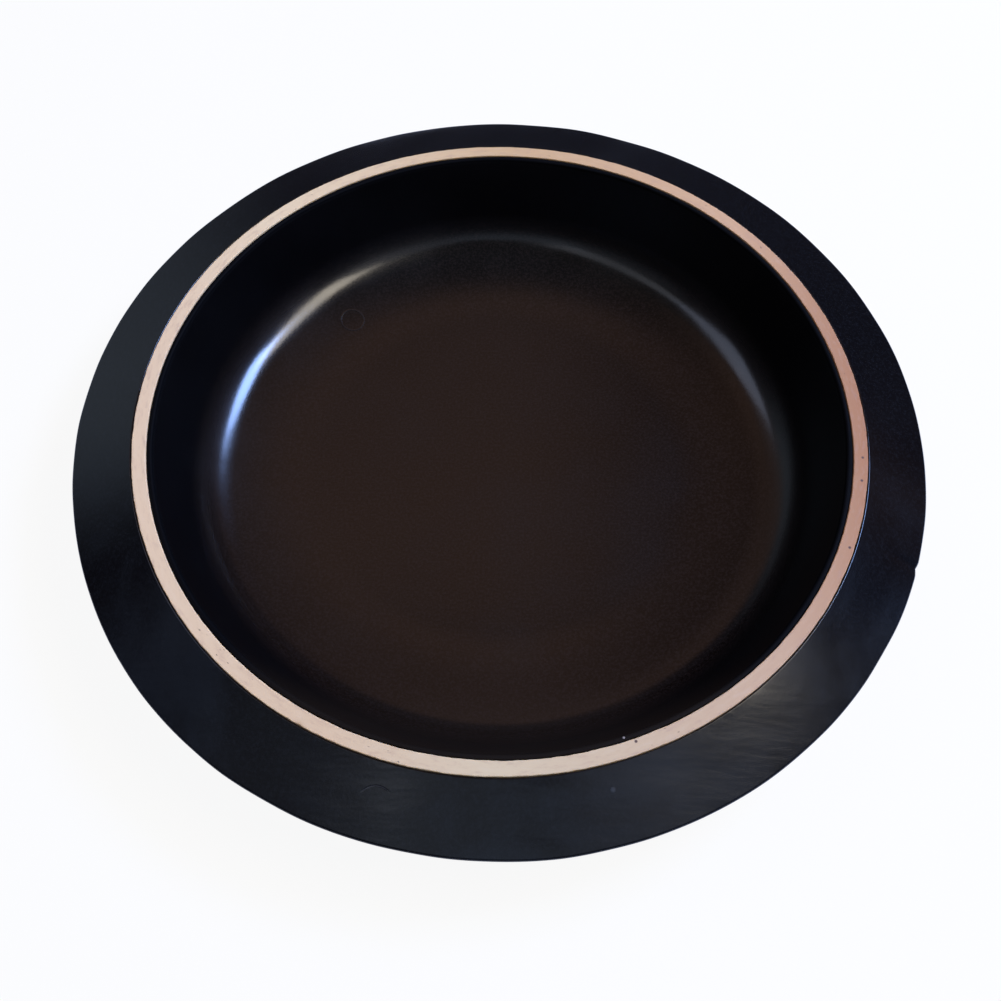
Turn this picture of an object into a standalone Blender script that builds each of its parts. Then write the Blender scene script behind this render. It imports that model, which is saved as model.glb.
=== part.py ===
"""Round panning dish: a deep black bowl, a pale ring let into its rim, and a sloping outer flange.

Metres, +Z up. The dish stands on the XY plane with its axis on Z.
"""
import math

import bmesh
import bpy

# ---------------------------------------------------------------- driving dimensions (metres, degrees)
PAN_DIAMETER = 0.356          # over the outer edge of the flange
PAN_HEIGHT = 0.050            # from the table to the top of the pale ring
FLANGE_WIDTH = 0.0269         # level distance from the ring to the outer edge
FLANGE_DROP = 0.0109          # how far the outer edge lies below the ring
FLANGE_EDGE = 0.0026          # thickness of the outer edge
FLANGE_SEAT_WIDTH = 0.0056    # width of the flat that rests on the bowl's ledge
RING_WIDTH = 0.0058
RING_THICKNESS = 0.0050
RING_PROUD = 0.0003           # ring stands this much above the black surfaces beside it
LIP_WIDTH = 0.0018            # black lip of the bowl inside the ring
WALL_LEAN = 23.2              # degrees from upright
WALL_THICKNESS = 0.0042
FLOOR_THICKNESS = 0.0055      # from the table to the level middle of the basin
DISH_RADIUS = 0.137           # slow curve by which the floor rises towards the cove
DISH_TILT = 16.0              # degrees that the floor has turned up where the cove starts
COVE_RADIUS = 0.024           # tighter curve from there into the wall
HEEL_RADIUS = 0.028           # outside curve between wall and base
LEDGE_THICKNESS = 0.0040      # shelf of the bowl under the ring and the flange
LAND_WIDTH = 0.0100           # flat band of the base that touches the table
BASE_RECESS = 0.0012          # hollow inside that band, which keeps the dish from rocking
CLEARANCE = 0.0003            # gap left between pieces that touch

# rounding of the edges
LIP_ROUNDING = 0.0012
EDGE_ROUNDING = 0.0012
ARRIS_ROUNDING = 0.0004
LEDGE_FILLET = 0.0030

TURN_STEPS = 96               # flats round the full circle
ARC_SAG = 0.00005             # how far a flat of a curve may stray from its arc

# ---------------------------------------------------------------- places worked out from them
PAN_RADIUS = PAN_DIAMETER / 2
RING_OUTER_RADIUS = PAN_RADIUS - FLANGE_WIDTH
RING_INNER_RADIUS = RING_OUTER_RADIUS - RING_WIDTH
FLANGE_INNER_RADIUS = RING_OUTER_RADIUS + CLEARANCE
GROOVE_RADIUS = RING_INNER_RADIUS - CLEARANCE
MOUTH_RADIUS = GROOVE_RADIUS - LIP_WIDTH
LEDGE_RADIUS = FLANGE_INNER_RADIUS + FLANGE_SEAT_WIDTH

BLACK_TOP = PAN_HEIGHT - RING_PROUD
RING_BOTTOM = PAN_HEIGHT - RING_THICKNESS
LEDGE_TOP = RING_BOTTOM - CLEARANCE
LEDGE_BOTTOM = LEDGE_TOP - LEDGE_THICKNESS

BLACK = (0.010, 0.011, 0.015, 1.0)
CREAM = (0.700, 0.540, 0.440, 1.0)


def clear_scene():
    for item in list(bpy.data.objects):
        bpy.data.objects.remove(item, do_unlink=True)


def make_material(name, colour, roughness, metallic=0.0):
    material = bpy.data.materials.new(name)
    material.use_nodes = True
    shader = material.node_tree.nodes["Principled BSDF"]
    shader.inputs["Base Color"].default_value = colour
    shader.inputs["Roughness"].default_value = roughness
    shader.inputs["Metallic"].default_value = metallic
    return material


def rounded_corner(before, corner, after, radius):
    """Points of the arc that rounds one corner of an outline, from the first leg to the second."""
    leg_in = ((before[0] - corner[0]), (before[1] - corner[1]))
    leg_out = ((after[0] - corner[0]), (after[1] - corner[1]))
    length_in = math.hypot(*leg_in)
    length_out = math.hypot(*leg_out)
    unit_in = (leg_in[0] / length_in, leg_in[1] / length_in)
    unit_out = (leg_out[0] / length_out, leg_out[1] / length_out)
    between = math.acos(unit_in[0] * unit_out[0] + unit_in[1] * unit_out[1])
    turn = math.pi - between
    reach = radius / math.tan(between / 2)
    middle = (unit_in[0] + unit_out[0], unit_in[1] + unit_out[1])
    middle_length = math.hypot(*middle)
    to_centre = radius / math.sin(between / 2)
    centre = (corner[0] + middle[0] / middle_length * to_centre,
              corner[1] + middle[1] / middle_length * to_centre)
    start = (corner[0] + unit_in[0] * reach, corner[1] + unit_in[1] * reach)
    side = unit_in[0] * unit_out[1] - unit_in[1] * unit_out[0]
    sweep = turn if side < 0 else -turn
    steps = max(2, math.ceil(turn / (2 * math.acos(1 - ARC_SAG / radius))))
    first = math.atan2(start[1] - centre[1], start[0] - centre[0])
    points = []
    for index in range(steps + 1):
        angle = first + sweep * index / steps
        points.append((centre[0] + radius * math.cos(angle), centre[1] + radius * math.sin(angle)))
    return points


def rounded_outline(corners, closed):
    """Outline through corners given as (radius from the axis, height, rounding)."""
    count = len(corners)
    points = []
    for index, (across, height, rounding) in enumerate(corners):
        at_end = not closed and index in (0, count - 1)
        if at_end or rounding == 0:
            points.append((across, height))
            continue
        before = corners[index - 1]
        after = corners[(index + 1) % count]
        points.extend(rounded_corner(before, (across, height), after, rounding))
    return points


def turned_piece(name, outline, closed, material, collection):
    """Solid of revolution. The outline lies at +X and runs down its outer side, top to bottom."""
    mesh = bpy.data.meshes.new(name)
    builder = bmesh.new()
    points = [builder.verts.new((across, 0.0, height)) for across, height in outline]
    for first, second in zip(points, points[1:]):
        builder.edges.new((first, second))
    if closed:
        builder.edges.new((points[-1], points[0]))
    builder.to_mesh(mesh)
    builder.free()
    piece = bpy.data.objects.new(name, mesh)
    piece.data.materials.append(material)
    collection.objects.link(piece)
    screw = piece.modifiers.new("turn", "SCREW")
    screw.axis = "Z"
    screw.steps = TURN_STEPS
    screw.render_steps = TURN_STEPS
    screw.use_merge_vertices = True
    screw.merge_threshold = 0.00001
    screw.use_smooth_shade = True
    return piece


def slope_arc(centre, radius, first_slope, last_slope):
    """Hollow arc as the surface turns up from one slope to another, in radians; its start is left out."""
    turn = last_slope - first_slope
    steps = math.ceil(turn / (2 * math.acos(1 - ARC_SAG / radius)))
    points = []
    for index in range(1, steps + 1):
        slope = first_slope + turn * index / steps
        points.append((centre[0] + radius * math.sin(slope), centre[1] - radius * math.cos(slope)))
    return points


def basin_outline():
    """From the axis over the floor, the dished part and the cove to the foot of the wall."""
    tilt = math.radians(DISH_TILT)
    wall_slope = math.radians(90 - WALL_LEAN)
    dish_rise = DISH_RADIUS * (1 - math.cos(tilt))
    cove_rise = COVE_RADIUS * (math.cos(tilt) - math.cos(wall_slope))
    foot_height = FLOOR_THICKNESS + dish_rise + cove_rise
    foot_radius = MOUTH_RADIUS - (BLACK_TOP - foot_height) * math.tan(math.radians(WALL_LEAN))
    cove_centre = (foot_radius - COVE_RADIUS * math.sin(wall_slope),
                   foot_height + COVE_RADIUS * math.cos(wall_slope))
    dish_end = cove_centre[0] + COVE_RADIUS * math.sin(tilt)
    level_radius = dish_end - DISH_RADIUS * math.sin(tilt)
    points = [(0.0, FLOOR_THICKNESS), (level_radius, FLOOR_THICKNESS)]
    points += slope_arc((level_radius, FLOOR_THICKNESS + DISH_RADIUS), DISH_RADIUS, 0.0, tilt)
    points += slope_arc(cove_centre, COVE_RADIUS, tilt, wall_slope)
    return points


def bowl_outline():
    lean = math.tan(math.radians(WALL_LEAN))
    offset = WALL_THICKNESS / math.cos(math.radians(WALL_LEAN))
    outer_at_base = MOUTH_RADIUS - BLACK_TOP * lean + offset
    outer_at_ledge = outer_at_base + LEDGE_BOTTOM * lean
    heel_reach = HEEL_RADIUS * math.tan(math.radians(90 - WALL_LEAN) / 2)
    land_inner = outer_at_base - heel_reach - LAND_WIDTH
    basin = basin_outline()
    foot_radius, foot_height = basin[-1]
    corners = [
        (foot_radius, foot_height, 0),
        (MOUTH_RADIUS, BLACK_TOP, LIP_ROUNDING),
        (GROOVE_RADIUS, BLACK_TOP, ARRIS_ROUNDING),
        (GROOVE_RADIUS, LEDGE_TOP, 0),
        (LEDGE_RADIUS, LEDGE_TOP, ARRIS_ROUNDING),
        (LEDGE_RADIUS, LEDGE_BOTTOM, EDGE_ROUNDING),
        (outer_at_ledge, LEDGE_BOTTOM, LEDGE_FILLET),
        (outer_at_base, 0.0, HEEL_RADIUS),
        (land_inner, 0.0, ARRIS_ROUNDING),
        (land_inner - BASE_RECESS, BASE_RECESS, ARRIS_ROUNDING),
        (0.0, BASE_RECESS, 0),
    ]
    return basin[:-1] + rounded_outline(corners, closed=False)


def ring_outline():
    corners = [
        (RING_INNER_RADIUS, PAN_HEIGHT, ARRIS_ROUNDING),
        (RING_OUTER_RADIUS, PAN_HEIGHT, ARRIS_ROUNDING),
        (RING_OUTER_RADIUS, RING_BOTTOM, 0),
        (RING_INNER_RADIUS, RING_BOTTOM, 0),
    ]
    return rounded_outline(corners, closed=True)


def flange_outline():
    edge_top = PAN_HEIGHT - FLANGE_DROP
    seat_height = LEDGE_TOP + CLEARANCE
    corners = [
        (FLANGE_INNER_RADIUS, BLACK_TOP, ARRIS_ROUNDING),
        (PAN_RADIUS, edge_top, EDGE_ROUNDING),
        (PAN_RADIUS, edge_top - FLANGE_EDGE, EDGE_ROUNDING),
        (LEDGE_RADIUS, seat_height, 0),
        (FLANGE_INNER_RADIUS, seat_height, 0),
    ]
    return rounded_outline(corners, closed=True)


def build_pan():
    clear_scene()
    collection = bpy.data.collections.new("panning_dish")
    bpy.context.scene.collection.children.link(collection)
    black_glaze = make_material("black_glaze", BLACK, 0.28)
    pale_body = make_material("pale_unglazed", CREAM, 0.75)
    turned_piece("pan_bowl", bowl_outline(), False, black_glaze, collection)
    turned_piece("rim_ring", ring_outline(), True, pale_body, collection)
    turned_piece("outer_flange", flange_outline(), True, black_glaze, collection)


build_pan()
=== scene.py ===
"""Looks of the gold pan: glazed black bowl and flange, pale unglazed ring, pale floor, soft light."""
import math

import bpy
from mathutils import Matrix, Vector, noise


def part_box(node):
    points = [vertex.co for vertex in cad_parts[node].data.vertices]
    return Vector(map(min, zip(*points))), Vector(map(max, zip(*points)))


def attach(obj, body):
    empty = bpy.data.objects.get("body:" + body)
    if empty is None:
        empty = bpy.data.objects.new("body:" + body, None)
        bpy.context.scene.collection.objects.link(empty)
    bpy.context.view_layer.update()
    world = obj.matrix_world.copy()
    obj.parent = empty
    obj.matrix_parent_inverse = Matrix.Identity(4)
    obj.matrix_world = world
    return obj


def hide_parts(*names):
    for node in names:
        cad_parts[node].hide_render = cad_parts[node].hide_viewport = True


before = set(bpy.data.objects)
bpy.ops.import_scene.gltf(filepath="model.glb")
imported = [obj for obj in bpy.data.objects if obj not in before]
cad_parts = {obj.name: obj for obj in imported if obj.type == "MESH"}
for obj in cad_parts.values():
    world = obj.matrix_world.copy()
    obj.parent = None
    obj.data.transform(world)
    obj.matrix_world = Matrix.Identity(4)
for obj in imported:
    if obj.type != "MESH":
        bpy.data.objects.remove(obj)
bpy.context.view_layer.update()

# ------------------------------------------------------------ sizes read from the frame (metres)
MM = 0.001
flange_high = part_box("outer_flange")[1]
ring_low, ring_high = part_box("rim_ring")
bowl_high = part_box("pan_bowl")[1]

PAN_RADIUS = flange_high.x
PAN_HEIGHT = ring_high.z
RING_OUTER = ring_high.x
RING_BOTTOM = ring_low.z
BLACK_TOP = bowl_high.z
LEDGE_RADIUS = bowl_high.x

# ------------------------------------------------------------ sizes of the section, as in the part's source
CLEARANCE = 0.3 * MM
RING_WIDTH = 5.8 * MM
LIP_WIDTH = 1.8 * MM
FLANGE_DROP = 10.9 * MM
FLANGE_EDGE = 2.6 * MM
WALL_LEAN = 23.2
WALL_THICKNESS = 4.2 * MM
FLOOR_TOP = 5.5 * MM
DISH_RADIUS = 137 * MM
DISH_TILT = 16
COVE_RADIUS = 24 * MM
HEEL_RADIUS = 28 * MM
LEDGE_THICKNESS = 4 * MM
LAND_WIDTH = 10 * MM
BASE_RECESS = 1.2 * MM
LIP_ROUNDING = 1.2 * MM
EDGE_ROUNDING = 1.2 * MM
ARRIS = 0.4 * MM
LEDGE_FILLET = 3 * MM

RING_INNER = RING_OUTER - RING_WIDTH
GROOVE_RADIUS = RING_INNER - CLEARANCE
MOUTH_RADIUS = GROOVE_RADIUS - LIP_WIDTH
LEDGE_TOP = RING_BOTTOM - CLEARANCE
LEDGE_BOTTOM = LEDGE_TOP - LEDGE_THICKNESS
FLANGE_INNER = RING_OUTER + CLEARANCE
LEAN = math.tan(math.radians(WALL_LEAN))
WALL_SLOPE = math.radians(90 - WALL_LEAN)
TILT = math.radians(DISH_TILT)
DISH_RISE = DISH_RADIUS * (1 - math.cos(TILT))
COVE_RISE = COVE_RADIUS * (math.cos(TILT) - math.cos(WALL_SLOPE))
FOOT_HEIGHT = FLOOR_TOP + DISH_RISE + COVE_RISE
FOOT_RADIUS = MOUTH_RADIUS - (BLACK_TOP - FOOT_HEIGHT) * LEAN

# ------------------------------------------------------------ fineness of the meshes
CORNER_STEP = 7               # degrees that one flat of a rounded corner turns
CORNER_FLATS = 4              # at least this many flats
DISH_FLATS = 16
COVE_FLATS = 24
CORNER_MARGIN = 0.15 * MM     # extra points beside each corner keep the shading flat between corners
BOWL_SPACING = 5 * MM         # between the points along a straight
RING_SPACING = 1.2 * MM
FLANGE_SPACING = 3 * MM
BOWL_SEGMENTS = 360           # round the full circle
RING_SEGMENTS = 1080
FLANGE_SEGMENTS = 720


# ------------------------------------------------------------ turned outlines
def arc_corner(before, corner, after, radius):
    """Points of the arc that rounds one corner of an outline."""
    corner, before, after = Vector(corner[:2]), Vector(before[:2]), Vector(after[:2])
    to_before = (before - corner).normalized()
    to_after = (after - corner).normalized()
    between = to_before.angle(to_after)
    turn = math.pi - between
    reach = radius / math.tan(between / 2)
    centre = corner + (to_before + to_after).normalized() * radius / math.sin(between / 2)
    first = corner + to_before * reach - centre
    side = to_before.x * to_after.y - to_before.y * to_after.x
    sweep = turn if side < 0 else -turn
    steps = max(CORNER_FLATS, math.ceil(math.degrees(turn) / CORNER_STEP))
    points = []
    for index in range(steps + 1):
        points.append(centre + Matrix.Rotation(sweep * index / steps, 2) @ first)
    return points


def outline(corners, closed, spacing):
    """Rounded outline through (radius, height, rounding), with extra points on its long straights."""
    count = len(corners)
    rough = []
    for index, (across, height, rounding) in enumerate(corners):
        at_end = not closed and index in (0, count - 1)
        if at_end or rounding == 0:
            rough.append(Vector((across, height)))
        else:
            after = corners[(index + 1) % count]
            rough.extend(arc_corner(corners[index - 1], (across, height), after, rounding))
    pairs = list(zip(rough, rough[1:]))
    if closed:
        pairs.append((rough[-1], rough[0]))
    points = []
    for start, end in pairs:
        points.append(start)
        length = (end - start).length
        if length < 4 * CORNER_MARGIN:
            continue
        along = (end - start) / length
        points.append(start + along * CORNER_MARGIN)
        inner = length - 2 * CORNER_MARGIN
        steps = max(1, round(inner / spacing))
        for step in range(1, steps):
            points.append(start + along * (CORNER_MARGIN + inner * step / steps))
        points.append(end - along * CORNER_MARGIN)
    if not closed:
        points.append(rough[-1])
    return points


def lathe(name, points, closed, segments, shift):
    """Solid turned about Z from (radius, height) points. shift gives how far each of its points is off,
    outward and upward, for an angle, a radius and a height."""
    verts = []
    rings = []
    for across, height in points:
        on_axis = across < 0.001 * MM
        if on_axis:
            rings.append([len(verts)] * segments)
            verts.append(Vector((0, 0, height)))
            continue
        ring = []
        for index in range(segments):
            angle = 2 * math.pi * index / segments
            out, rise = shift(angle, across, height)
            radius = across + out
            ring.append(len(verts))
            verts.append(Vector((radius * math.cos(angle), radius * math.sin(angle), height + rise)))
        rings.append(ring)
    faces = []
    pairs = list(zip(rings, rings[1:]))
    if closed:
        pairs.append((rings[-1], rings[0]))
    for upper, lower in pairs:
        for index in range(segments):
            after = (index + 1) % segments
            face = []
            for corner in (upper[index], lower[index], lower[after], upper[after]):
                if corner not in face:
                    face.append(corner)
            faces.append(face)
    mesh = bpy.data.meshes.new(name)
    mesh.from_pydata(verts, [], faces)
    mesh.shade_smooth()
    piece = bpy.data.objects.new(name, mesh)
    bpy.context.scene.collection.objects.link(piece)
    return piece


def slope_arc(centre, radius, first_slope, last_slope, steps):
    """Hollow arc as the surface turns up from one slope to another; its start is left out."""
    points = []
    for index in range(1, steps + 1):
        slope = first_slope + (last_slope - first_slope) * index / steps
        points.append(centre + radius * Vector((math.sin(slope), -math.cos(slope))))
    return points


def basin_points():
    """From the axis over the floor, the dished part and the cove to the foot of the wall."""
    foot = Vector((FOOT_RADIUS, FOOT_HEIGHT))
    cove_centre = foot + COVE_RADIUS * Vector((-math.sin(WALL_SLOPE), math.cos(WALL_SLOPE)))
    level_radius = cove_centre.x + (COVE_RADIUS - DISH_RADIUS) * math.sin(TILT)
    points = [Vector((0, FLOOR_TOP)), Vector((level_radius, FLOOR_TOP))]
    dish_centre = Vector((level_radius, FLOOR_TOP + DISH_RADIUS))
    points += slope_arc(dish_centre, DISH_RADIUS, 0, TILT, DISH_FLATS)
    points += slope_arc(cove_centre, COVE_RADIUS, TILT, WALL_SLOPE, COVE_FLATS)
    return points


def bowl_points():
    """Closed section of the bowl, from the middle of the floor over the lip and the ledge to the base."""
    outer_at_base = MOUTH_RADIUS - BLACK_TOP * LEAN + WALL_THICKNESS / math.cos(math.radians(WALL_LEAN))
    outer_at_ledge = outer_at_base + LEDGE_BOTTOM * LEAN
    heel_reach = HEEL_RADIUS * math.tan(WALL_SLOPE / 2)
    land_inner = outer_at_base - heel_reach - LAND_WIDTH
    corners = [
        (FOOT_RADIUS, FOOT_HEIGHT, 0),
        (MOUTH_RADIUS, BLACK_TOP, LIP_ROUNDING),
        (GROOVE_RADIUS, BLACK_TOP, ARRIS),
        (GROOVE_RADIUS, LEDGE_TOP, 0),
        (LEDGE_RADIUS, LEDGE_TOP, ARRIS),
        (LEDGE_RADIUS, LEDGE_BOTTOM, EDGE_ROUNDING),
        (outer_at_ledge, LEDGE_BOTTOM, LEDGE_FILLET),
        (outer_at_base, 0, HEEL_RADIUS),
        (land_inner, 0, ARRIS),
        (land_inner - BASE_RECESS, BASE_RECESS, ARRIS),
        (0, BASE_RECESS, 0),
    ]
    return basin_points()[:-1] + outline(corners, False, BOWL_SPACING)


def ring_points():
    corners = [
        (RING_INNER, PAN_HEIGHT, ARRIS),
        (RING_OUTER, PAN_HEIGHT, ARRIS),
        (RING_OUTER, RING_BOTTOM, 0),
        (RING_INNER, RING_BOTTOM, 0),
    ]
    return outline(corners, True, RING_SPACING)


def flange_points():
    edge_top = PAN_HEIGHT - FLANGE_DROP
    corners = [
        (FLANGE_INNER, BLACK_TOP, ARRIS),
        (PAN_RADIUS, edge_top, EDGE_ROUNDING),
        (PAN_RADIUS, edge_top - FLANGE_EDGE, EDGE_ROUNDING),
        (LEDGE_RADIUS, LEDGE_TOP + CLEARANCE, 0),
        (FLANGE_INNER, LEDGE_TOP + CLEARANCE, 0),
    ]
    return outline(corners, True, FLANGE_SPACING)


# ------------------------------------------------------------ small errors of the hand
EDGE_NICK = 339.5             # azimuth of the nick in the flange's edge, in degrees
NICK_WIDTH = 0.55             # degrees
NICK_DEPTH = 0.7 * MM
RING_CHIP = 242.1             # azimuth of the chip in the ring's outer edge
CHIP_WIDTH = 0.5
CHIP_DEPTH = 0.5 * MM
LIP_REACH = 8 * MM            # the lip's wander fades out this far down the wall
LIP_WANDER = 0.5 * MM
RING_EDGE_REACH = 1 * MM      # the ring is ragged down to here from its top
RING_WAVES = 0.2 * MM
RING_NIBBLES = 0.12 * MM
EDGE_SWAY = 0.55 * MM         # slow wander of the flange's edge, outward
EDGE_WAVES = 0.25 * MM        # and a quicker one
EDGE_ROLL = 0.9 * MM          # the same, upward
EDGE_RIPPLE = 0.35 * MM
FAR_EDGE_RISE = 1.1 * MM      # the flange's far edge is higher than on a round pan
FAR_EDGE_TUCK = 1.3 * MM      # and lies this much nearer the axis


def limited(value):
    """The value, kept between 0 and 1."""
    return max(0.0, min(1.0, value))


def wander(angle, lobes, seed):
    """Smooth random value round the pan, about -0.5 to 0.5."""
    return noise.noise(Vector((math.cos(angle) * lobes, math.sin(angle) * lobes, seed)))


def dent(angle, azimuth, width):
    """1 at that azimuth, falling off over width, all in degrees."""
    away = (math.degrees(angle) - azimuth + 180) % 360 - 180
    return math.exp(-(away / width) ** 2)


def bowl_shift(angle, across, height):
    """The black lip wanders a little; nothing moves beside the ring or below the lip."""
    near_lip = limited((height - BLACK_TOP) / LIP_REACH + 1)
    free = limited((GROOVE_RADIUS - across) / LIP_WIDTH)
    return LIP_WANDER * wander(angle, 4, 1.5) * near_lip * free, 0


def ring_shift(angle, across, height):
    """Slightly ragged upper edges, and one chip in the outer one."""
    middle = (RING_INNER + RING_OUTER) / 2
    side = 1 if across > middle else -1
    upper = limited((height - PAN_HEIGHT) / RING_EDGE_REACH + 1)
    from_middle = limited(abs(across - middle) / (RING_WIDTH / 2))
    ragged = RING_WAVES * wander(angle, 45, 4.5 + side) + RING_NIBBLES * wander(angle, 160, 8.5 + side)
    chip = CHIP_DEPTH * dent(angle, RING_CHIP, CHIP_WIDTH) * limited(side)
    return side * (ragged - chip) * upper * from_middle ** 4, -chip * upper * from_middle ** 4


def flange_shift(angle, across, height):
    """The outer edge wanders in and out and up and down, has one small nick, and is higher and nearer
    the axis on the far side, so that the camera sees the far flange as dark as in the photo."""
    share = limited((across - FLANGE_INNER) / (PAN_RADIUS - FLANGE_INNER))
    far_side = limited(math.sin(angle))
    out = EDGE_SWAY * wander(angle, 2.3, 2.5) + EDGE_WAVES * wander(angle, 9, 3.5)
    out -= NICK_DEPTH * dent(angle, EDGE_NICK, NICK_WIDTH)
    rise = EDGE_ROLL * wander(angle, 1.7, 6.5) + EDGE_RIPPLE * wander(angle, 6, 7.5)
    rise += FAR_EDGE_RISE * far_side
    out -= FAR_EDGE_TUCK * far_side
    return out * share ** 3, rise * share ** 1.5


# ------------------------------------------------------------ camera
# fitted to the edges of the ring and of the flange in the photo
VIEW_ELEVATION = 61.71        # degrees
VIEW_ROLL = -1.0
VIEW_DISTANCE = 3.134 * RING_OUTER
VIEW_LIFT = 0.237 * RING_OUTER
LENS = 41.07                  # millimetres
SENSOR = 36
NEAREST = 10 * MM             # nothing nearer to the camera is drawn


def add_camera():
    """Camera on the -Y side, looking down at the pan."""
    elevation = math.radians(VIEW_ELEVATION)
    back = Vector((0, -math.cos(elevation), math.sin(elevation)))
    up = Vector((0, math.sin(elevation), math.cos(elevation)))
    right = Vector((1, 0, 0))
    roll = math.radians(VIEW_ROLL)
    across = right * math.cos(roll) - up * math.sin(roll)
    upward = right * math.sin(roll) + up * math.cos(roll)
    camera = bpy.data.objects.new("camera", bpy.data.cameras.new("camera"))
    camera.data.lens = LENS
    camera.data.sensor_width = SENSOR
    camera.data.clip_start = NEAREST
    place = Vector((0, 0, PAN_HEIGHT)) + back * VIEW_DISTANCE - upward * VIEW_LIFT
    turn = Matrix((across, upward, back)).transposed().to_4x4()
    camera.matrix_world = Matrix.Translation(place) @ turn
    bpy.context.scene.collection.objects.link(camera)
    bpy.context.scene.camera = camera


# ------------------------------------------------------------ lamps
LAMP_DISTANCE = 2.0


def add_lamp(name, azimuth, elevation, width, height, glow):
    """Soft box seen from the pan at that azimuth and elevation, with its width and height in degrees.
    glow is how bright its face is in red, green and blue, where 1 is white."""
    level, above = math.radians(azimuth), math.radians(elevation)
    reach = math.cos(above)
    toward = Vector((math.cos(level) * reach, math.sin(level) * reach, math.sin(above)))
    data = bpy.data.lights.new(name, "AREA")
    data.shape = "RECTANGLE"
    data.size = 2 * LAMP_DISTANCE * math.tan(math.radians(width) / 2)
    data.size_y = 2 * LAMP_DISTANCE * math.tan(math.radians(height) / 2)
    strongest = max(glow)
    data.color = [part / strongest for part in glow]
    data.energy = strongest * math.pi * data.size * data.size_y
    lamp = bpy.data.objects.new(name, data)
    lamp.location = Vector((0, 0, PAN_HEIGHT)) + toward * LAMP_DISTANCE
    lamp.rotation_euler = toward.to_track_quat("Z", "Y").to_euler()
    bpy.context.scene.collection.objects.link(lamp)


def add_lights():
    """Soft boxes where the photo shows their reflections in the cove, on the floor and on the flange."""
    add_lamp("window_right", 25, 46.5, 20, 15, (14.5, 23.0, 47.0))
    add_lamp("softbox_right", 359, 56, 28, 16, (10.0, 9.0, 7.4))
    add_lamp("softbox_left", 163, 52, 22, 22, (1.5, 1.7, 2.3))
    add_lamp("softbox_left_front", 216, 64, 30, 12, (0.75, 0.80, 0.92))
    add_lamp("softbox_front_right", 325, 53, 34, 22, (0.42, 0.46, 0.57))
    add_lamp("softbox_front", 266, 54, 32, 14, (0.22, 0.27, 0.34))
    add_lamp("softbox_front_wide", 248, 52, 64, 22, (0.10, 0.12, 0.16))


# ------------------------------------------------------------ node trees
class Nodes:
    """Short way to write a node tree."""

    def __init__(self, tree):
        self.tree = tree

    def add(self, kind, **settings):
        node = self.tree.nodes.new(kind)
        for key, value in settings.items():
            setattr(node, key, value)
        return node

    def link(self, source, target):
        self.tree.links.new(source, target)

    def feed(self, socket, value):
        """Links a socket to the value, or sets it where the value is plain."""
        if isinstance(value, bpy.types.NodeSocket):
            self.link(value, socket)
        else:
            socket.default_value = value

    def maths(self, operation, first, second=0.0, clamp=False):
        node = self.add("ShaderNodeMath", operation=operation, use_clamp=clamp)
        self.feed(node.inputs[0], first)
        self.feed(node.inputs[1], second)
        return node.outputs[0]

    def times(self, first, second):
        return self.maths("MULTIPLY", first, second)

    def most(self, first, second):
        return self.maths("MAXIMUM", first, second)

    def spread(self, value, low, high, to_low=0.0, to_high=1.0):
        """value from low..high, smoothly to to_low..to_high."""
        node = self.add("ShaderNodeMapRange", interpolation_type="SMOOTHSTEP")
        self.feed(node.inputs["Value"], value)
        node.inputs["From Min"].default_value = low
        node.inputs["From Max"].default_value = high
        node.inputs["To Min"].default_value = to_low
        node.inputs["To Max"].default_value = to_high
        return node.outputs["Result"]

    def spread_evenly(self, value, low, high):
        """value from low..high to 0..1 in a straight line."""
        node = self.add("ShaderNodeMapRange")
        self.feed(node.inputs["Value"], value)
        node.inputs["From Min"].default_value = low
        node.inputs["From Max"].default_value = high
        return node.outputs["Result"]

    def mix(self, share, first, second):
        """The first colour where share is 0 and the second where it is 1."""
        node = self.add("ShaderNodeMix", data_type="RGBA")
        self.feed(node.inputs["Factor"], share)
        self.feed(node.inputs["A"], first)
        self.feed(node.inputs["B"], second)
        return node.outputs["Result"]

    def noise(self, vector, scale, detail=2.0, roughness=0.5, distortion=0.0):
        node = self.add("ShaderNodeTexNoise")
        self.feed(node.inputs["Vector"], vector)
        node.inputs["Scale"].default_value = scale
        node.inputs["Detail"].default_value = detail
        node.inputs["Roughness"].default_value = roughness
        node.inputs["Distortion"].default_value = distortion
        return node.outputs["Fac"]

    def place(self):
        """Object coordinates, and their x, y and z."""
        coordinates = self.add("ShaderNodeTexCoord").outputs["Object"]
        split = self.add("ShaderNodeSeparateXYZ")
        self.link(coordinates, split.inputs[0])
        return coordinates, split.outputs["X"], split.outputs["Y"], split.outputs["Z"]

    def radius(self, x, y):
        """Distance from the axis."""
        return self.maths("SQRT", self.maths("ADD", self.times(x, x), self.times(y, y)))

    def away(self, coordinates, across, along):
        """Level distance from the point at across, along."""
        flat = self.add("ShaderNodeVectorMath", operation="MULTIPLY")
        self.link(coordinates, flat.inputs[0])
        flat.inputs[1].default_value = (1, 1, 0)
        distance = self.add("ShaderNodeVectorMath", operation="DISTANCE")
        self.link(flat.outputs[0], distance.inputs[0])
        distance.inputs[1].default_value = (across, along, 0)
        return distance.outputs["Value"]

    def circle(self, distance, radius, width):
        """1 on a thin circle, falling to 0 over width on both sides."""
        off = self.maths("ABSOLUTE", self.maths("SUBTRACT", distance, radius))
        return self.spread(off, width, 0)

    def bump(self, height, distance, strength=1.0, normal=None):
        node = self.add("ShaderNodeBump")
        node.inputs["Strength"].default_value = strength
        node.inputs["Distance"].default_value = distance
        self.link(height, node.inputs["Height"])
        if normal is not None:
            self.link(normal, node.inputs["Normal"])
        return node.outputs["Normal"]


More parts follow.
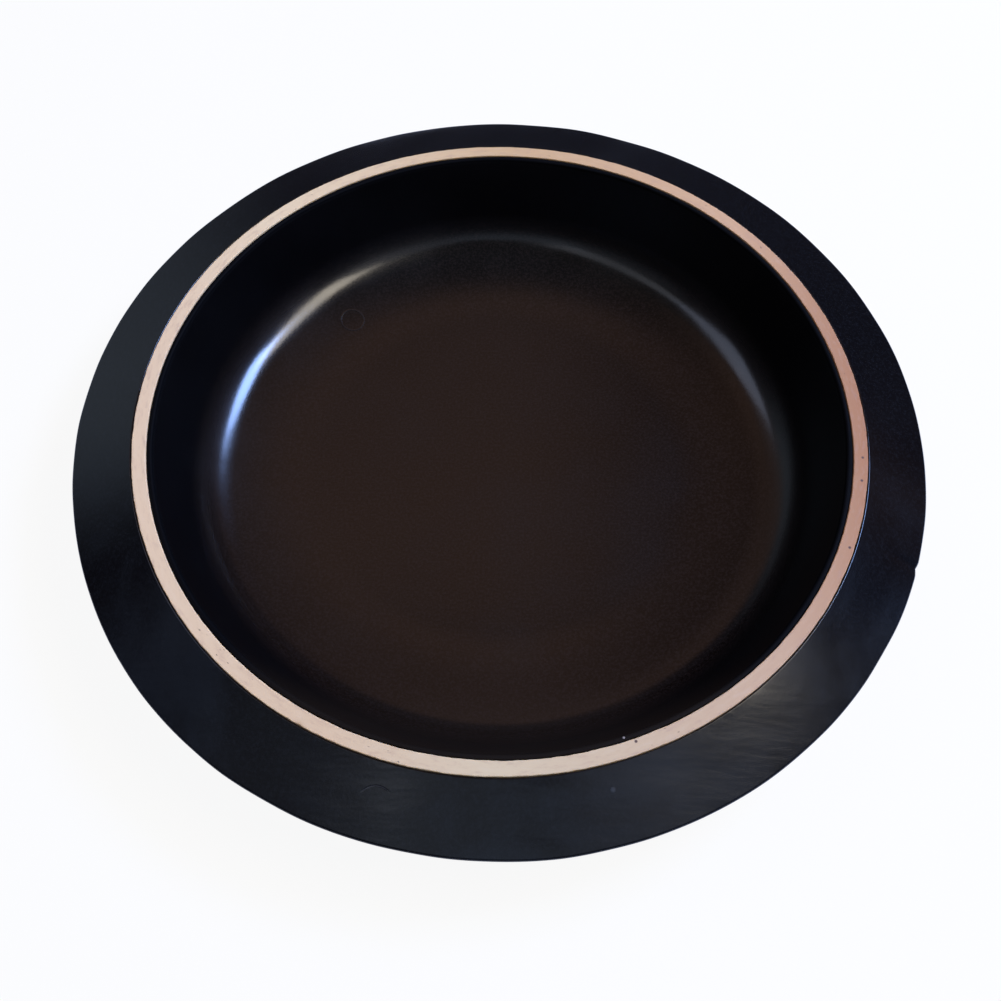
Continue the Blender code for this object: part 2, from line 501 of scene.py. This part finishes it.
def new_material(name):
    material = bpy.data.materials.new(name)
    material.use_nodes = True
    nodes = Nodes(material.node_tree)
    shader = material.node_tree.nodes["Principled BSDF"]
    return material, nodes, shader


def paint(red, green, blue):
    return (red, green, blue, 1.0)


# ------------------------------------------------------------ room and floor
ROOM_LOW = paint(0.050, 0.050, 0.065)
ROOM_HIGH = paint(0.10, 0.10, 0.105)
ROOM_LEFT = paint(0.38, 0.46, 0.57)
ROOM_BROWN = paint(0.53, 0.32, 0.245)
BACKDROP = paint(0.94, 0.94, 0.94)
FLOOR_GREY = paint(0.75, 0.75, 0.75)
FLOOR_WHITE_SHARE = 0.92
FLOOR_HALF = 3.0


def room_colour(nodes, rightward, backward, upward):
    """Dim room for the glaze to mirror, by direction. Brown light behind the pan starts low, gets stronger
    higher up and ends short of overhead. The lower left behind the pan is blue-grey, and the rest dark."""
    brown_height = nodes.maths("ADD",
                               nodes.spread(upward, 0.30, 0.48, 0.0, 0.64),
                               nodes.spread(upward, 0.80, 0.89, 0.0, 0.32))
    not_overhead = nodes.spread(upward, 0.975, 0.90)
    behind = nodes.spread(backward, 0.1, 0.4)
    weaker_right = nodes.spread(rightward, -0.02, 0.28, 1.0, 0.45)
    not_left = nodes.spread(rightward, -0.82, -0.55)
    brown_share = nodes.times(nodes.times(brown_height, not_overhead), nodes.times(behind, weaker_right))
    brown_share = nodes.times(brown_share, not_left)
    left_share = nodes.times(nodes.spread(rightward, -0.35, -0.85), nodes.spread(backward, 0.15, 0.50))
    room = nodes.mix(nodes.spread(upward, 0.55, 0.95), ROOM_LOW, ROOM_HIGH)
    room = nodes.mix(left_share, room, ROOM_LEFT)
    return nodes.mix(brown_share, room, ROOM_BROWN)


def set_world():
    """The dim room; the camera itself sees a pale backdrop in its place."""
    world = bpy.data.worlds.new("room")
    bpy.context.scene.world = world
    world.use_nodes = True
    nodes = Nodes(world.node_tree)
    background = world.node_tree.nodes["Background"]
    split = nodes.add("ShaderNodeSeparateXYZ")
    nodes.link(nodes.add("ShaderNodeTexCoord").outputs["Generated"], split.inputs[0])
    room = room_colour(nodes, split.outputs["X"], split.outputs["Y"], split.outputs["Z"])
    path = nodes.add("ShaderNodeLightPath")
    seen = nodes.mix(path.outputs["Is Camera Ray"], room, BACKDROP)
    nodes.link(seen, background.inputs["Color"])


def floor_material():
    """Pale floor that the camera sees as nearly white, and that keeps the pan's shadow."""
    material, nodes, shader = new_material("pale_floor")
    shader.inputs["Base Color"].default_value = FLOOR_GREY
    shader.inputs["Roughness"].default_value = 0.9
    shader.inputs["Specular IOR Level"].default_value = 0.0
    path = nodes.add("ShaderNodeLightPath")
    seen = nodes.maths("ADD", path.outputs["Is Camera Ray"], path.outputs["Is Transmission Ray"], clamp=True)
    white = nodes.add("ShaderNodeEmission")
    white.inputs["Color"].default_value = paint(1, 1, 1)
    blend = nodes.add("ShaderNodeMixShader")
    nodes.link(nodes.times(seen, FLOOR_WHITE_SHARE), blend.inputs["Fac"])
    nodes.link(shader.outputs[0], blend.inputs[1])
    nodes.link(white.outputs[0], blend.inputs[2])
    output = material.node_tree.nodes["Material Output"]
    nodes.link(blend.outputs[0], output.inputs["Surface"])
    return material


def add_floor():
    mesh = bpy.data.meshes.new("floor")
    corners = [(-1, -1), (1, -1), (1, 1), (-1, 1)]
    mesh.from_pydata([(x * FLOOR_HALF, y * FLOOR_HALF, 0) for x, y in corners], [], [(0, 1, 2, 3)])
    floor = bpy.data.objects.new("floor", mesh)
    mesh.materials.append(floor_material())
    bpy.context.scene.collection.objects.link(floor)


# ------------------------------------------------------------ marks, each at its level place on the pan
FLOOR_BUBBLE = (-71.8 * MM, 78.7 * MM)
BUBBLE_RADIUS = 5.4 * MM
LIP_SPECK = (46.3 * MM, -136.1 * MM)
FLANGE_PIMPLE = (42.1 * MM, -154.1 * MM)
FLANGE_SCRATCH = (-41.9 * MM, -154.1 * MM)
SCRATCH_RADIUS = 7 * MM
RING_FLECKS = [(353.1, 148.9 * MM), (348.9, 148.8 * MM), (336.8, 149.3 * MM), (290.2, 146.5 * MM)]

# ------------------------------------------------------------ glazes and clay
GLAZE_IOR = 1.45
PLAIN_SPECULAR = 0.5

# painted reflection: the floor's brown base colour stands in for brown light mirrored from the room
FLOOR_BROWN_REFLECTION = (paint(0.0046, 0.0022, 0.0013), paint(0.0074, 0.0040, 0.0026))
# painted shade: the floor darker to the right and towards the far cove
FLOOR_RIGHT_SHADE = paint(0.0026, 0.0012, 0.0009)
FLOOR_FAR_SHADE = paint(0.0012, 0.0010, 0.0010)
FLOOR_GRAIN = paint(0.014, 0.009, 0.008)
WALL_BLACK = (paint(0.0004, 0.0004, 0.0008), paint(0.0010, 0.0010, 0.0018))
# painted reflection: the near wall and cove lighter and brownish
NEAR_WALL_REFLECTION = paint(0.0088, 0.0058, 0.0040)
BUBBLE_TINT = paint(0.03, 0.024, 0.022)
SPECK_TINT = paint(0.3, 0.26, 0.24)
FOOT_CLAY = (paint(0.55, 0.40, 0.30), paint(0.72, 0.56, 0.44))

FLANGE_BLACK = paint(0.0010, 0.0009, 0.0017)
# painted reflection: pale blue-grey patches, mostly on the near flange
FLANGE_PATCH_REFLECTION = paint(0.0058, 0.0076, 0.0104)
FLANGE_GRAIN = paint(0.014, 0.016, 0.021)
PIMPLE_TINT = paint(0.045, 0.050, 0.058)
SCRATCH_TINT = paint(0.05, 0.05, 0.055)

# clay colours from the left of the ring to its right, on its near and far halves; lighter to the left and
# darker to the right, partly the clay's own tone and partly painted light and shade
RING_LEFT_TONE_AND_LIGHT = paint(0.85, 0.59, 0.345)
RING_RIGHT_TONE_AND_SHADE = paint(0.41, 0.170, 0.066)
NEAR_CLAY_AND_SHADE = [
    (0.0, RING_LEFT_TONE_AND_LIGHT),
    (0.3, paint(0.76, 0.52, 0.295)),
    (0.5, paint(0.71, 0.54, 0.315)),
    (0.85, paint(0.57, 0.36, 0.205)),
    (1.0, RING_RIGHT_TONE_AND_SHADE),
]
FAR_CLAY_AND_SHADE = [
    (0.0, RING_LEFT_TONE_AND_LIGHT),
    (0.15, paint(0.88, 0.65, 0.37)),
    (0.5, paint(0.66, 0.405, 0.185)),
    (0.85, paint(0.63, 0.345, 0.165)),
    (1.0, RING_RIGHT_TONE_AND_SHADE),
]
CLAY_LIGHT = paint(0.86, 0.78, 0.70)
CLAY_SPOT = paint(0.46, 0.27, 0.19)
CLAY_FLECK = paint(0.10, 0.05, 0.035)


def around(azimuth, radius):
    """Level place at an azimuth in degrees."""
    return radius * math.cos(math.radians(azimuth)), radius * math.sin(math.radians(azimuth))


def floor_glaze(nodes, cloud, x, y):
    """Brown glaze, a painted reflection, with painted shade darker to the right and towards the far cove."""
    brown = nodes.mix(cloud, *FLOOR_BROWN_REFLECTION)
    brown = nodes.mix(nodes.spread(x, -10 * MM, 110 * MM), brown, FLOOR_RIGHT_SHADE)
    return nodes.mix(nodes.spread(y, 65 * MM, 110 * MM), brown, FLOOR_FAR_SHADE)


def bowl_material():
    """Black glaze: brownish on the floor and low on the near wall, both painted reflection; bare on the
    foot.
    """
    material, nodes, shader = new_material("black_glaze")
    place, x, y, z = nodes.place()
    radius = nodes.radius(x, y)
    cloud = nodes.noise(place, 22, 4, 0.55)
    grain = nodes.noise(place, 900)
    on_floor = nodes.spread(radius, FOOT_RADIUS + 2 * MM, FOOT_RADIUS - 8 * MM)
    on_wall = nodes.spread(radius, 124 * MM, 130 * MM)
    on_lip = nodes.spread(z, BLACK_TOP - 2.2 * MM, BLACK_TOP - 0.9 * MM)
    on_foot = nodes.spread(z, 0.5 * MM, 0.2 * MM)
    bubble = nodes.circle(nodes.away(place, *FLOOR_BUBBLE), BUBBLE_RADIUS, 0.6 * MM)
    speck = nodes.spread(nodes.away(place, *LIP_SPECK), 0.6 * MM, 0.2 * MM)

    # the floor's colour from floor_glaze is painted reflection with painted shade
    colour = nodes.mix(on_floor, nodes.mix(cloud, *WALL_BLACK), floor_glaze(nodes, cloud, x, y))
    # painted reflection: the near wall and cove brownish and lighter
    colour = nodes.mix(nodes.spread(y, -100 * MM, -130 * MM), colour, NEAR_WALL_REFLECTION)
    grain_share = nodes.times(nodes.spread(grain, 0.35, 0.75, 0, 0.55), on_floor)
    colour = nodes.mix(grain_share, colour, FLOOR_GRAIN)
    colour = nodes.mix(nodes.times(bubble, 0.25), colour, BUBBLE_TINT)
    colour = nodes.mix(speck, colour, SPECK_TINT)
    clay = nodes.mix(nodes.noise(place, 120, 4, 0.6), *FOOT_CLAY)
    nodes.link(nodes.mix(on_foot, colour, clay), shader.inputs["Base Color"])

    gloss = nodes.spread(cloud, 0.3, 0.75, 0.15, 0.22)
    matt = nodes.most(nodes.times(nodes.most(on_foot, on_lip), 0.5), nodes.times(on_wall, 0.14))
    nodes.link(nodes.maths("ADD", gloss, matt), shader.inputs["Roughness"])
    shader.inputs["IOR"].default_value = GLAZE_IOR
    right_floor = nodes.times(nodes.spread(x, 0, 95 * MM), nodes.spread(radius, 120 * MM, 110 * MM))
    dull = nodes.most(nodes.times(right_floor, 0.2), nodes.times(on_lip, 0.42))
    dull = nodes.most(dull, nodes.times(on_wall, 0.2))
    nodes.link(nodes.maths("SUBTRACT", PLAIN_SPECULAR, dull), shader.inputs["Specular IOR Level"])

    ripple = nodes.noise(place, 60)
    normal = nodes.bump(ripple, 0.22 * MM, 0.35)
    normal = nodes.bump(bubble, 0.08 * MM, 0.8, normal)
    nodes.link(nodes.bump(grain, 0.03 * MM, 0.5, normal), shader.inputs["Normal"])
    return material


def scratch_mask(nodes, place, y):
    """The far part of a small circle, so a short arc that bulges away from the camera."""
    across, along = FLANGE_SCRATCH
    distance = nodes.away(place, across, along - SCRATCH_RADIUS)
    far_part = nodes.spread(y, along - 2.5 * MM, along - 1 * MM)
    return nodes.times(nodes.circle(distance, SCRATCH_RADIUS, 0.45 * MM), far_part)


def brushed_height(nodes, place, y):
    """Streaks of a brush across the near flange."""
    turned = nodes.add("ShaderNodeMapping")
    nodes.link(place, turned.inputs["Vector"])
    turned.inputs["Rotation"].default_value = (0, 0, math.radians(35))
    turned.inputs["Scale"].default_value = (1, 5, 1)
    streaks = nodes.noise(turned.outputs[0], 18, 3, 0.55)
    return nodes.times(streaks, nodes.spread(y, -50 * MM, -130 * MM))


def flange_material():
    """Black glaze with soft blue-grey patches of painted reflection and streaks on the near side, a pimple
    and a scratch.
    """
    material, nodes, shader = new_material("black_flange_glaze")
    place, _, y, _ = nodes.place()
    patch = nodes.noise(place, 14, 4, 0.6, 0.6)
    grain = nodes.noise(place, 800)
    pimple = nodes.spread(nodes.away(place, *FLANGE_PIMPLE), 1.3 * MM, 0.3 * MM)
    scratch = scratch_mask(nodes, place, y)

    # painted reflection: pale blue-grey patches, fading out towards the far side
    reflection_share = nodes.times(nodes.spread(patch, 0.42, 0.7), nodes.spread(y, 30 * MM, -130 * MM))
    colour = nodes.mix(reflection_share, FLANGE_BLACK, FLANGE_PATCH_REFLECTION)
    colour = nodes.mix(nodes.spread(grain, 0.4, 0.8, 0, 0.25), colour, FLANGE_GRAIN)
    colour = nodes.mix(nodes.times(pimple, 0.6), colour, PIMPLE_TINT)
    colour = nodes.mix(nodes.times(scratch, 0.35), colour, SCRATCH_TINT)
    nodes.link(colour, shader.inputs["Base Color"])

    gloss = nodes.spread(patch, 0.3, 0.7, 0.08, 0.13)
    near_satin = nodes.spread(y, -40 * MM, -110 * MM, 0.0, 0.10)
    nodes.link(nodes.maths("ADD", gloss, near_satin), shader.inputs["Roughness"])
    shader.inputs["IOR"].default_value = GLAZE_IOR

    ripple = nodes.noise(place, 45, 3)
    normal = nodes.bump(ripple, 0.13 * MM, 0.4)
    normal = nodes.bump(brushed_height(nodes, place, y), 0.6 * MM, 0.4, normal)
    normal = nodes.bump(pimple, 0.05 * MM, 1.0, normal)
    normal = nodes.bump(nodes.times(scratch, -1), 0.1 * MM, 0.8, normal)
    nodes.link(nodes.bump(grain, 0.02 * MM, 0.6, normal), shader.inputs["Normal"])
    return material


def ramp(nodes, value, stops):
    """Colours at places between 0 and 1, blended in between."""
    node = nodes.add("ShaderNodeValToRGB")
    nodes.link(value, node.inputs["Fac"])
    elements = node.color_ramp.elements
    while len(elements) < len(stops):
        elements.new(0.5)
    for element, (place, colour) in zip(elements, stops):
        element.position = place
        element.color = colour
    return node.outputs["Color"]


def along_ring(nodes, x, y):
    """Coordinates unrolled along the ring, in which marks are longer along it than across."""
    polar = nodes.add("ShaderNodeCombineXYZ")
    nodes.link(nodes.times(nodes.maths("ARCTAN2", y, x), RING_OUTER), polar.inputs["X"])
    nodes.link(nodes.radius(x, y), polar.inputs["Y"])
    stretched = nodes.add("ShaderNodeVectorMath", operation="MULTIPLY")
    nodes.link(polar.outputs[0], stretched.inputs[0])
    stretched.inputs[1].default_value = (0.3, 1.0, 1.0)
    return stretched.outputs[0]


def ring_flecks(nodes, place, unrolled):
    """Mask of the dark flecks: small ones strewn in a few stretches, and the ones that the photo shows."""
    strewn = nodes.spread(nodes.noise(unrolled, 900, 2, 0.6), 0.66, 0.74)
    flecks = nodes.times(strewn, nodes.spread(nodes.noise(place, 30), 0.5, 0.62))
    for azimuth, across in RING_FLECKS:
        spot = nodes.spread(nodes.away(place, *around(azimuth, across)), 0.75 * MM, 0.35 * MM)
        flecks = nodes.most(flecks, spot)
    return flecks


def ring_material():
    """Bare pale clay: creamy to the left, pinker and darker to the right, partly the clay's own tone and
    partly painted light and shade; mottled and flecked.
    """
    material, nodes, shader = new_material("pale_unglazed")
    place, x, y, _ = nodes.place()
    unrolled = along_ring(nodes, x, y)
    mottle = nodes.noise(unrolled, 420, 4, 0.65)
    rightward = nodes.spread_evenly(x, -RING_OUTER, RING_OUTER)
    backward = nodes.spread_evenly(y, -RING_OUTER, RING_OUTER)

    # clay tone with painted light and shade: lighter to the left, darker and pinker to the right
    colour = nodes.mix(backward, ramp(nodes, rightward, NEAR_CLAY_AND_SHADE), ramp(nodes, rightward, FAR_CLAY_AND_SHADE))
    colour = nodes.mix(nodes.spread(mottle, 0.3, 0.5, 0.06, 0), colour, CLAY_LIGHT)
    colour = nodes.mix(nodes.spread(mottle, 0.48, 0.75, 0, 0.4), colour, CLAY_SPOT)
    colour = nodes.mix(ring_flecks(nodes, place, unrolled), colour, CLAY_FLECK)
    nodes.link(colour, shader.inputs["Base Color"])
    shader.inputs["Roughness"].default_value = 0.72
    nodes.link(nodes.bump(mottle, 0.08 * MM, 0.6), shader.inputs["Normal"])
    return material


# ------------------------------------------------------------ the pan
def finish_piece(piece, node, material):
    piece.data.materials.append(material)
    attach(piece, "root")
    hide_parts(node)


def build():
    bowl = lathe("glazed_bowl", bowl_points(), False, BOWL_SEGMENTS, bowl_shift)
    ring = lathe("pale_ring", ring_points(), True, RING_SEGMENTS, ring_shift)
    flange = lathe("glazed_flange", flange_points(), True, FLANGE_SEGMENTS, flange_shift)
    finish_piece(bowl, "pan_bowl", bowl_material())
    finish_piece(ring, "rim_ring", ring_material())
    finish_piece(flange, "outer_flange", flange_material())
    add_floor()
    add_lights()
    set_world()
    add_camera()
    bpy.context.scene.view_settings.view_transform = "Standard"


build()
